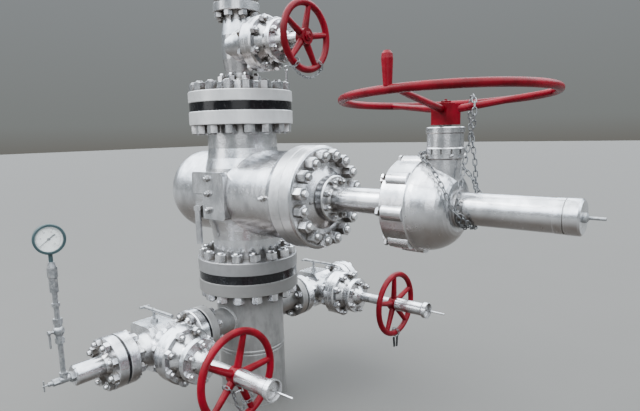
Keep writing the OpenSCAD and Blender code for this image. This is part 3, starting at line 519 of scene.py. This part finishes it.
class Solid:
    """Gathers many small closed forms into one mesh."""

    def __init__(self):
        self.points, self.faces = [], []

    def add(self, points, faces, place=STILL):
        start = len(self.points)
        self.points += [place @ Vector(p) for p in points]
        self.faces += [[start + i for i in face] for face in faces]

    def skin(self, rows, place=STILL, looped=False):
        """A skin over rows of points. The last row meets the first when looped, else both are closed."""
        n, count = len(rows[0]), len(rows)
        faces = []
        for i in range(count if looped else count - 1):
            near, far = i * n, (i + 1) % count * n
            faces += [(near + k, near + (k + 1) % n, far + (k + 1) % n, far + k) for k in range(n)]
        if not looped:
            faces += [tuple(reversed(range(n))), tuple((count - 1) * n + k for k in range(n))]
        self.add([p for row in rows for p in row], faces, place)

    def revolve(self, profile, place, sides=24):
        """A closed form turned about Z from (radius, height) pairs that start and end on the axis."""
        self.skin([[polar(r, a, z) for a in circle(sides)] for r, z in profile if r > 0], place)

    def nut(self, across, height, place, sides=36):
        """A hexagon nut on the Z axis with turned chamfers on both faces."""
        flat = across / 2
        chamfer = flat * 0.96
        slope = math.tan(math.radians(28))
        from_flat = [math.radians((360 * k / sides + 30) % 60 - 30) for k in range(sides)]
        rim = [flat / math.cos(a) for a in from_flat]
        drop = [(r - chamfer) * slope for r in rim]
        rows = [[(chamfer, 0)] * sides, zip(rim, drop),
                [(r, height - d) for r, d in zip(rim, drop)], [(chamfer, height)] * sides]
        self.skin([[polar(r, a, z) for (r, z), a in zip(row, circle(sides))] for row in rows], place)

    def stud(self, diameter, length, place, pitch=0.0032, sides=20):
        """A threaded stud end along Z: rings of thread and a chamfered tip."""
        r, depth = diameter / 2, diameter * 0.045
        turns = max(2, int(length / pitch) - 1)
        profile = [(0, 0)]
        for k in range(turns):
            profile += [(r - depth, pitch * k), (r, pitch * (k + 0.5))]
        profile += [(r - depth, pitch * turns), (r - 2.2 * depth, length), (0, length)]
        self.revolve(profile, place, sides)

    def nut_and_stud(self, place, size, rng):
        """A nut on a stud end, turned at random, as tightened."""
        across, height, diameter, beyond = size
        self.nut(across, height, place @ spin(rng.uniform(0, 1.05)))
        self.stud(diameter, beyond, place @ shift(0, 0, height))

    def nut_ring(self, centre, axis, bolts, size, rng):
        """Nuts with their stud ends, all round a circle of bolts."""
        for place in around(centre, axis, bolts):
            self.nut_and_stud(place, size, rng)

    def box(self, size, place):
        x, y, z = (s / 2 for s in size)
        points = [(i * x, j * y, k * z) for i in (-1, 1) for j in (-1, 1) for k in (-1, 1)]
        faces = [(0, 1, 3, 2), (4, 6, 7, 5), (0, 4, 5, 1), (2, 3, 7, 6), (0, 2, 6, 4), (1, 5, 7, 3)]
        self.add(points, faces, place)

    def wire(self, path, radius, outward, closed=True, sides=10, place=STILL):
        """Round wire along a path. outward gives, for each point, a direction across the wire."""
        path = [Vector(p) for p in path]
        last = len(path) - 1
        rows = []
        for k, (spot, out) in enumerate(zip(path, outward)):
            if closed:
                before, after = path[k - 1], path[(k + 1) % len(path)]
            else:
                before, after = path[max(k - 1, 0)], path[min(k + 1, last)]
            ahead = (after - before).normalized()
            out = (Vector(out) - Vector(out).dot(ahead) * ahead).normalized()
            side = ahead.cross(out)
            r = radius[k] if isinstance(radius, list) else radius
            rows.append([spot + r * (math.cos(b) * out + math.sin(b) * side) for b in circle(sides)])
        self.skin(rows, place, looped=closed)

    def link(self, span, width, wire, place):
        """A chain link along X. span is the distance between the places where it meets its neighbours."""
        bend = (width - wire) / 2
        straight = (span + wire * 1.1) / 2 - bend
        path, outward = [], []
        for k in range(20):
            x, y, z = polar(1, 2 * math.pi * (k + 0.5) / 20)
            path.append((math.copysign(straight, x) + bend * x, bend * y, z))
            outward.append((x, y, z))
        self.wire(path, wire / 2, outward, sides=8, place=place)

    def chain(self, path, across, size, closed=False):
        """Links along a path, each a quarter turn from the one before. across is a direction off it."""
        pitch, width, wire = size
        path = [Vector(p) for p in path]
        legs = list(zip(path, path[1:] + path[:1] if closed else path[1:]))
        total = sum((b - a).length for a, b in legs)
        count = 2 * round(total / pitch / 2)

        def spot_at(distance):
            for a, b in legs:
                if distance <= (b - a).length or (a, b) == legs[-1]:
                    return a.lerp(b, distance / (b - a).length)
                distance -= (b - a).length

        meets = [spot_at(total * k / count) for k in range(count)] + [path[0] if closed else path[-1]]
        for k, (a, b) in enumerate(zip(meets, meets[1:])):
            ahead = (b - a).normalized()
            side = Vector(across).cross(ahead).normalized()
            turn = Matrix((ahead, side, ahead.cross(side))).transposed().to_4x4()
            quarter = spin(math.pi / 2 * (k % 2), "X")
            self.link((b - a).length, width, wire, shift(*((a + b) / 2)) @ turn @ quarter)

    def padlock(self, width, place):
        """A padlock hanging down -Y from its shackle, whose top is at the origin."""
        bend, wire, drop = width * 0.34, width * 0.11, width * 1.3
        angles = [math.pi * k / 12 for k in range(13)]
        path = [(bend * math.cos(a), bend * (math.sin(a) - 1), 0) for a in angles]
        path = [(bend, -drop, 0)] + path + [(-bend, -drop, 0)]
        outward = [(1, 0, 0)] + [polar(1, a) for a in angles] + [(-1, 0, 0)]
        self.wire(path, wire, outward, closed=False, place=place)
        height, depth, cut = width * 0.9, width * 0.42, width * 0.12
        low = -drop * 0.82 - height / 2
        outline = []
        for right, up, start in ((1, 1, 0), (-1, 1, 90), (-1, -1, 180), (1, -1, 270)):
            for q in range(4):
                x, y, _ = polar(cut, math.radians(start + q * 30))
                outline.append((right * (width / 2 - cut) + x, up * (height / 2 - cut) + y))
        rows = [(0.94, -depth / 2), (1.0, -depth * 0.38), (1.0, depth * 0.38), (0.94, depth / 2)]
        self.skin([[(x * s, y * s + low, z) for x, y in outline] for s, z in rows], place)

    def tag(self, width, length, thick, place):
        """A moulded tag that hangs down -Z, with a rounded head and a bevelled rim."""
        half = width / 2
        outline = [(half * math.cos(a), half * math.sin(a) - half) for a in
                   (math.pi * k / 10 for k in range(11))]
        outline += [(-half * 0.8, -length), (half * 0.8, -length)]
        rows = [(0.9, -thick / 2), (1.0, -thick * 0.3), (1.0, thick * 0.3), (0.9, thick / 2)]
        self.skin([[(depth, y * s, z) for y, z in outline] for s, depth in rows], place)

    def piece(self, name, material, body, angle=34):
        """Makes the gathered forms one object that rides on a body, smooth but for its true edges."""
        mesh = bpy.data.meshes.new(name)
        mesh.from_pydata([tuple(p) for p in self.points], [], self.faces)
        mesh.update()
        work = bmesh.new()
        work.from_mesh(mesh)
        bmesh.ops.recalc_face_normals(work, faces=work.faces)
        work.to_mesh(mesh)
        work.free()
        mesh.materials.append(material)
        mesh.polygons.foreach_set("use_smooth", [True] * len(mesh.polygons))
        mesh.set_sharp_from_angle(angle=math.radians(angle))
        obj = in_scene(name, mesh)
        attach(obj, body)


def main_flange_nuts():
    """Sixteen studs through each main flange joint."""
    rng = random.Random(3)
    for name, size, under, over in (
            ("lower_flange_nuts", MAIN_NUT, LOW_BAND[0].z - FLANGE_T, LOW_BAND[1].z + FLANGE_T),
            ("upper_flange_nuts", UPPER_NUT, HIGH_BAND[0].z - FLANGE_T, ADAPTER[1].z - RAISED_FACE)):
        solid = Solid()
        for height, way in ((over, 1), (under, -1)):
            solid.nut_ring((0, 0, height), (0, 0, way), FLANGE_CIRCLE, size, rng)
        solid.piece(name, FASTENER, "stack")


def bonnet_nuts():
    """The big nuts of the master bonnet and the smaller ones of its gland flange."""
    rng = random.Random(5)
    for name, front, bolts, size in (
            ("master_bonnet_nuts", BONNET[0].x + BONNET_T, BONNET_CIRCLE, BONNET_NUT),
            ("gland_nuts", GLAND[1].x, GLAND_CIRCLE, GLAND_NUT)):
        solid = Solid()
        solid.nut_ring((front, 0, STEM_Z), AHEAD, bolts, size, rng)
        solid.piece(name, FASTENER, "stack")


def gearbox_bolts():
    """The bolts that close the gearbox: heads on its back plate and at the backs of its bosses."""
    rng = random.Random(7)
    solid = Solid()
    centre = Vector((GEARBOX[0].x, 0, STEM_Z))
    for k in range(GEARBOX_BOSSES):
        a = math.radians(GEARBOX_START + 360 * k / GEARBOX_BOSSES)
        out = Vector((0, math.sin(a), -math.cos(a)))
        turn = facing(-AHEAD) @ spin(rng.uniform(0, 1))
        for (radius, across, height), sunk in ((BACK_HEAD, 0), (BOSS_HEAD, BOSS_BACK)):
            solid.nut(across, height, shift(*(centre + radius * out + sunk * AHEAD)) @ turn)
    for place in around(centre, -AHEAD, GEARBOX_CIRCLE):
        solid.nut(*INNER_HEAD, place @ spin(rng.uniform(0, 1)))
    solid.piece("gearbox_bolts", FASTENER, "stack")


def collar_screws():
    """Set screws round the column below the collar, and the big wheel's washer and nut on its shaft."""
    rng = random.Random(9)
    solid = Solid()
    centre = Vector(((COLUMN[0].x + COLUMN[1].x) / 2, 0, COLLAR[0].z - SCREWS_BELOW_COLLAR))
    radius = (COLUMN[1].x - COLUMN[0].x) / 2
    for k in range(4):
        out = Vector(polar(1, math.radians(-45 + 90 * k)))
        solid.nut_and_stud(shift(*(centre + radius * out)) @ facing(out), COLLAR_SCREW, rng)
    solid.piece("collar_screws", FASTENER, "stack")
    solid = Solid()
    top = shift(centre.x, 0, COLLAR[1].z + HUB_ABOVE_COLLAR)
    solid.revolve(WHEEL_WASHER, top, 36)
    solid.nut_and_stud(top @ shift(0, 0, WHEEL_WASHER[-1][1]), BIG_WHEEL_BOLT, rng)
    solid.piece("big_wheel_nut", RED, "main_wheel")


def lug_screws():
    """Three screws in each lug of the master valve, each on a washer."""
    rng = random.Random(11)
    solid = Solid()
    for side in (-1, 1):
        for height in LUG_SCREW_HEIGHTS:
            place = shift(LUG_X, side * LUG_Y, STEM_Z + height) @ facing((0, side, 0))
            solid.revolve(LUG_WASHER, place)
            solid.nut_and_stud(place @ shift(0, 0, LUG_WASHER[-1][1]), LUG_NUT, rng)
    solid.piece("lug_screws", FASTENER, "stack")


def body_fittings():
    """Grease fittings and plugs on the master valve's barrel, its hub and its lower neck.

    Each is a hexagon body with a turned nipple and its cap.
    """
    solid = Solid()
    for side in (-1, 1):
        for x, y, z, across, length in BODY_FITTINGS:
            place = shift(x, side * y, z) @ facing((0, side, 0))
            body, r = length * 0.4, across * 0.36
            solid.nut(across, body, place)
            nipple = [(0, 0), (r, 0), (r, length * 0.22), (r * 0.6, length * 0.28)]
            cap = [(r * 0.6, length * 0.36), (r * 0.95, length * 0.42), (r * 0.95, length * 0.56),
                   (r * 0.5, length * 0.6), (0, length * 0.6)]
            solid.revolve(nipple + cap, place @ shift(0, 0, body), 20)
    solid.piece("body_fittings", FASTENER, "stack")


def small_valve_nuts(name, centre, outward, ends):
    """The nuts of a small valve: flange joints, bonnet and gland. ends are (offset, direction, size) rows."""
    rng = random.Random(len(name))
    solid = Solid()
    centre, outward = Vector(centre), Vector(outward)
    for offset, way, size in ends:
        solid.nut_ring(centre + outward * offset, outward * way, SMALL_CIRCLE, size, rng)
    for x, way, bolts, size in (
            (SMALL_JOINT_X + SMALL_BONNET_T, 1, SMALL_BONNET_CIRCLE, SMALL_BONNET_NUT),
            (SMALL_JOINT_X - SMALL_BONNET_T, -1, SMALL_BONNET_CIRCLE, SMALL_BONNET_BACK),
            (SMALL_GLAND_FRONT, 1, SMALL_GLAND_CIRCLE, SMALL_GLAND_NUT)):
        solid.nut_ring(centre + x * AHEAD, way * AHEAD, bolts, size, rng)
    solid.piece(name, FASTENER, "stack")


def small_nuts():
    """The three small valves, with the flanges that each is bolted to."""
    half = SMALL_VALVE_L / 2
    inner = half - SMALL_FLANGE_T
    outer = half + SIDE_GAP + SMALL_FLANGE_T
    top = half + TOP_GAP + SMALL_FLANGE_T
    inward = [(inner, -1, SMALL_NUT), (-inner, 1, SMALL_NUT)]
    sideways = inward + [(-outer, -1, SMALL_NUT)]
    small_valve_nuts("top_valve_nuts", (0, 0, TOP_Z), (0, 0, 1), inward + [(top, 1, LOW_NUT)])
    small_valve_nuts("left_valve_nuts", (0, -SIDE_Y, SIDE_Z), (0, -1, 0), sideways + [(outer, 1, SMALL_NUT)])
    small_valve_nuts("right_valve_nuts", (0, SIDE_Y, SIDE_Z), (0, 1, 0), sideways + [(outer, 1, LOW_NUT)])


def nozzle_welds():
    """The rippled weld beads where the side nozzles leave the casing head."""
    rng = random.Random(13)
    solid = Solid()
    for side in (-1, 1):
        path, sizes, outward = [], [], []
        for k, a in enumerate(circle(WELD_POINTS)):
            x, z = NOZZLE_R * math.cos(a), NOZZLE_R * math.sin(a)
            path.append((x, side * math.sqrt(CASING_R ** 2 - x ** 2), SIDE_Z + z))
            ripple = WELD_RIPPLE * math.cos(k * math.pi / 1.5)
            sizes.append(WELD_R + ripple + rng.uniform(-WELD_CHANCE, WELD_CHANCE))
            outward.append((math.cos(a), 0, math.sin(a)))
        solid.wire(path, sizes, outward)
    solid.piece("nozzle_welds", DULL, "stack", angle=70)


def numeral(solid, text, size, place):
    """A number in plain type, as thin raised print."""
    curve = bpy.data.curves.new("numeral", "FONT")
    curve.body, curve.size, curve.extrude = text, size, 0.0001
    curve.align_x, curve.align_y = "CENTER", "CENTER"
    obj = in_scene("numeral", curve)
    bpy.context.view_layer.update()
    mesh = obj.evaluated_get(bpy.context.evaluated_depsgraph_get()).to_mesh()
    solid.add([tuple(v.co) for v in mesh.vertices], [tuple(f.vertices) for f in mesh.polygons], place)
    bpy.data.objects.remove(obj)
    bpy.data.curves.remove(curve)


def dial_mark(k):
    """Where division k starts, as a radius, and its width."""
    if k % STEPS_PER_NUMBER == 0:
        return 0.0375, 0.0012
    return (0.0400, 0.0008) if k % 5 == 0 else (0.0422, 0.0005)


def dial_print(face):
    """Divisions and plain numbers over three quarters of the dial, inside a thin ring."""
    solid = Solid()
    for k in range(DIAL_STEPS + 1):
        a = math.radians(DIAL_ZERO - DIAL_SWEEP * k / DIAL_STEPS)
        start, width = dial_mark(k)
        place = face @ spin(a) @ shift((DIAL_RING_R + start) / 2, 0, 0)
        solid.box((DIAL_RING_R - start, width, 0.0002), place)
        if k % STEPS_PER_NUMBER == 0:
            number = str(10 * k // STEPS_PER_NUMBER)
            numeral(solid, number, NUMBER_SIZE, face @ shift(*polar(NUMBER_R, a)))
    arc = [math.radians(DIAL_ZERO - DIAL_SWEEP * k / 90) for k in range(91)]
    solid.wire([polar(DIAL_RING_R, a) for a in arc], 0.0004, [polar(1, a) for a in arc],
               closed=False, sides=6, place=face)
    solid.piece("dial_print", BLACK, "stack")


def pointer_boss(face):
    """The boss in the middle of the pointer, and the pointer's short tail."""
    solid = Solid()
    solid.revolve([(0, 0), (0.0055, 0), (0.0055, 0.0012), (0.0048, 0.0022), (0, 0.0022)], face, 28)
    blade = [(0.003, -0.0020), (0.024, -0.0030), (0.027, 0), (0.024, 0.0030), (0.003, 0.0020)]
    solid.skin([[(x, y, z) for x, y in blade] for z in (0.0002, 0.0014)],
               face @ spin(math.radians(POINTER_TAIL)))
    solid.piece("pointer_boss", BLACK, "stack")


def gauge_face():
    """The dial's print, the pointer's boss and the glass, from back to front."""
    turn = math.radians(-GAUGE_TURN)
    out = Vector(polar(1, turn))
    up = Vector((0, 0, 1))
    centre = Vector((0, (CASE[0].y + CASE[1].y) / 2, DIAL_Z))
    turned = Matrix((up.cross(out), up, out)).transposed().to_4x4()
    behind, middle, front = (shift(*(centre + out * (DIAL_AHEAD + ahead))) @ turned
                             for ahead in (0.0001, 0.0010, 0.0075))
    dial_print(behind)
    pointer_boss(middle)
    solid = Solid()
    r = (DIAL[1].z - DIAL[0].z) / 2
    solid.revolve([(0, 0), (r, 0), (r, 0.002), (0, 0.002)], front, 64)
    solid.piece("dial_glass", GLASS, "stack")


def rim_of(wheel):
    """The middle of a small wheel's rim and the radius of its centre line."""
    low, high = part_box(wheel)
    middle = (low + high) / 2
    return Vector((high.x - SMALL_RIM_R, middle.y, middle.z)), (high.z - low.z) / 2 - SMALL_RIM_R


def chain_ring(solid, spot, bar, out, size):
    """A small ring of chain links round a bar of radius bar. Gives back its outermost place."""
    loop = bar + size[1] * 0.62
    path = [spot + loop * (math.cos(b) * out + math.sin(b) * AHEAD) for b in circle(40)]
    solid.chain(path, AHEAD.cross(out), size, closed=True)
    return spot + loop * out


def chain_round_rim(solid, wheel, angle, size):
    """A ring of chain links round a wheel's rim."""
    centre, radius = rim_of(wheel)
    a = math.radians(angle)
    out = Vector((0, math.cos(a), math.sin(a)))
    return chain_ring(solid, centre + radius * out, SMALL_RIM_R, out, size)


def chain_round_spoke(solid, wheel, angle, reach, size):
    """A ring of chain links round a wheel's spoke, reach away from its hub. It hangs down."""
    centre, radius = rim_of(wheel)
    a = math.radians(angle)
    along = Vector((0, math.cos(a), math.sin(a)))
    low = along.cross(AHEAD)
    if low.z > 0:
        low = -low
    dished = SMALL_DISH * (1 - reach / radius) * AHEAD
    return chain_ring(solid, centre + reach * along - dished, SMALL_SPOKE_R, low, size)


def swag(start, end, sag, ahead, points=24):
    """A hanging line from start to end, a little in front of them."""
    spots = [(k / points, start.lerp(end, k / points)) for k in range(points + 1)]
    return [(p.x + ahead, p.y, p.z - sag * 4 * t * (1 - t)) for t, p in spots]


def top_wheel_chain():
    """Two rings of thin chain round the top wheel's rim, with a short swag between them."""
    solid = Solid()
    start, end = (chain_round_rim(solid, "top_handwheel", angle, TOP_CHAIN) for angle in (236, 304))
    solid.chain(swag(start, end, 0.042, 0.006), AHEAD, TOP_CHAIN)
    solid.piece("top_wheel_chain", CHAIN, "top_wheel")


def left_wheel_lock():
    """A padlock on a ring of chain round one spoke, and a swag of chain to the next spoke."""
    solid = Solid()
    start, end = (chain_round_spoke(solid, "left_handwheel", angle, reach, LEFT_CHAIN)
                  for angle, reach in ((220, 0.066), (292, 0.128)))
    solid.chain(swag(start, end, 0.052, 0.012), AHEAD, LEFT_CHAIN)
    solid.piece("left_wheel_chain", CHAIN, "left_wheel")
    solid = Solid()
    hook = start + Vector((0.004, 0, 0.010))
    solid.padlock(0.044, shift(*hook) @ facing(AHEAD) @ spin(math.pi / 2))
    solid.piece("left_wheel_padlock", FASTENER, "left_wheel")


def right_wheel_tags():
    """Two black tags that hang by a ring of chain from the right wheel's rim."""
    solid = Solid()
    low = chain_round_rim(solid, "right_handwheel", 270, RIGHT_CHAIN)
    solid.piece("right_wheel_chain", CHAIN, "right_wheel")
    solid = Solid()
    for side, lean in ((-1, 7), (1, -5)):
        hook = low + Vector((0.004 * side, 0.013 * side, -0.002))
        solid.tag(0.017, 0.062, 0.006, shift(*hook) @ spin(math.radians(lean), "X"))
    solid.piece("right_wheel_tags", BLACK, "right_wheel")


def top_wheel_nut():
    """The nut that holds the top wheel on its stem, and the stem's end."""
    rng = random.Random(17)
    solid = Solid()
    face = shift(TOP_BONNET[1].x, 0, TOP_Z) @ facing(AHEAD)
    solid.nut_and_stud(face @ shift(0, 0, -STEM_PAST_HUB), TOP_WHEEL_NUT, rng)
    solid.piece("top_wheel_nut", RED, "top_wheel")


def anchor_rod():
    """A thin rod with an eye that stands on the adapter flange, with a nut at its foot."""
    solid = Solid()
    foot = shift(ROD_X, ROD_Y, ADAPTER[1].z - RAISED_FACE)
    solid.revolve([(0, -ROD_SUNK), (ROD_R, -ROD_SUNK), (ROD_R, ROD_L), (0, ROD_L)], foot, 14)
    solid.nut(*ROD_NUT, foot)
    eye = [(0, EYE_R * math.cos(a), EYE_R * math.sin(a)) for a in circle(24)]
    solid.wire(eye, EYE_WIRE_R, eye, place=foot @ shift(0, 0, ROD_L + EYE_ABOVE_ROD))
    solid.piece("anchor_rod", FASTENER, "stack")


def floor():
    """A plain pale floor."""
    mesh = bpy.data.meshes.new("floor")
    s = FLOOR_REACH
    mesh.from_pydata([(-s, -s, 0), (s, -s, 0), (s, s, 0), (-s, s, 0)], [], [(0, 1, 2, 3)])
    f = Finish("floor_paint", Specular_IOR_Level=0.3)
    cloud = f.noise(1.5, 3.0, 0.5)
    mesh.materials.append(f.set(Base_Color=f.mix(*FLOOR_COLOURS, cloud), Roughness=0.75 + cloud * 0.1))
    in_scene("floor", mesh)


def sky():
    """Soft studio light: a bright ceiling over a darker band at the horizon."""
    world = bpy.data.worlds.new("studio")
    bpy.context.scene.world = world
    world.use_nodes = True
    maker = NodeMaker(world.node_tree)
    back = world.node_tree.nodes["Background"]
    where = maker.node("ShaderNodeTexCoord", out="Generated")
    height = maker.node("ShaderNodeSeparateXYZ", inputs={"Vector": where}, out="Z")
    share = maker.node("ShaderNodeMapRange", inputs={"Value": height, "From Min": -1})
    stops = [((sine + 1) / 2, colour) for sine, colour in SKY_BANDS]
    maker.feed(back.inputs["Color"],
               maker.node("ShaderNodeValToRGB", {"stops": stops}, {"Fac": share}, out="Color"))
    maker.feed(back.inputs["Strength"], SKY_STRENGTH)


def area_light(name, place, look, size, power, colour):
    light = bpy.data.lights.new(name, "AREA")
    light.shape = "RECTANGLE"
    light.size, light.size_y = size
    light.energy = power
    light.color = colour
    obj = in_scene(name, light)
    obj.location = place
    obj.rotation_euler = (Vector(look) - Vector(place)).to_track_quat("-Z", "Y").to_euler()


def camera():
    """The photo's camera: its place, its turn, and the lens in sensor widths."""
    turn, pitch, roll = (math.radians(a) for a in (CAMERA_TURN, CAMERA_PITCH, CAMERA_ROLL))
    ahead = Vector((-math.sin(turn) * math.cos(pitch), math.cos(turn) * math.cos(pitch), -math.sin(pitch)))
    level = Vector(polar(1, turn))
    over = level.cross(ahead)
    right = math.cos(roll) * level + math.sin(roll) * over
    up = -math.sin(roll) * level + math.cos(roll) * over
    lens = bpy.data.cameras.new("camera")
    lens.sensor_width = SENSOR_MM
    lens.lens = FOCAL_PX / IMAGE_W * SENSOR_MM
    lens.shift_y = (MIDDLE_V - IMAGE_H / 2) / IMAGE_W
    lens.clip_start, lens.clip_end = NEAREST, FURTHEST
    obj = in_scene("camera", lens)
    obj.matrix_world = shift(*CAMERA_AT) @ Matrix((right, up, -ahead)).transposed().to_4x4()
    bpy.context.scene.camera = obj


camera()
sky()
floor()
for light in LIGHTS:
    area_light(*light)
for make in (main_flange_nuts, bonnet_nuts, gearbox_bolts, collar_screws, lug_screws, body_fittings,
             small_nuts, nozzle_welds, gauge_face, top_wheel_chain, left_wheel_lock, right_wheel_tags,
             top_wheel_nut, anchor_rod):
    make()
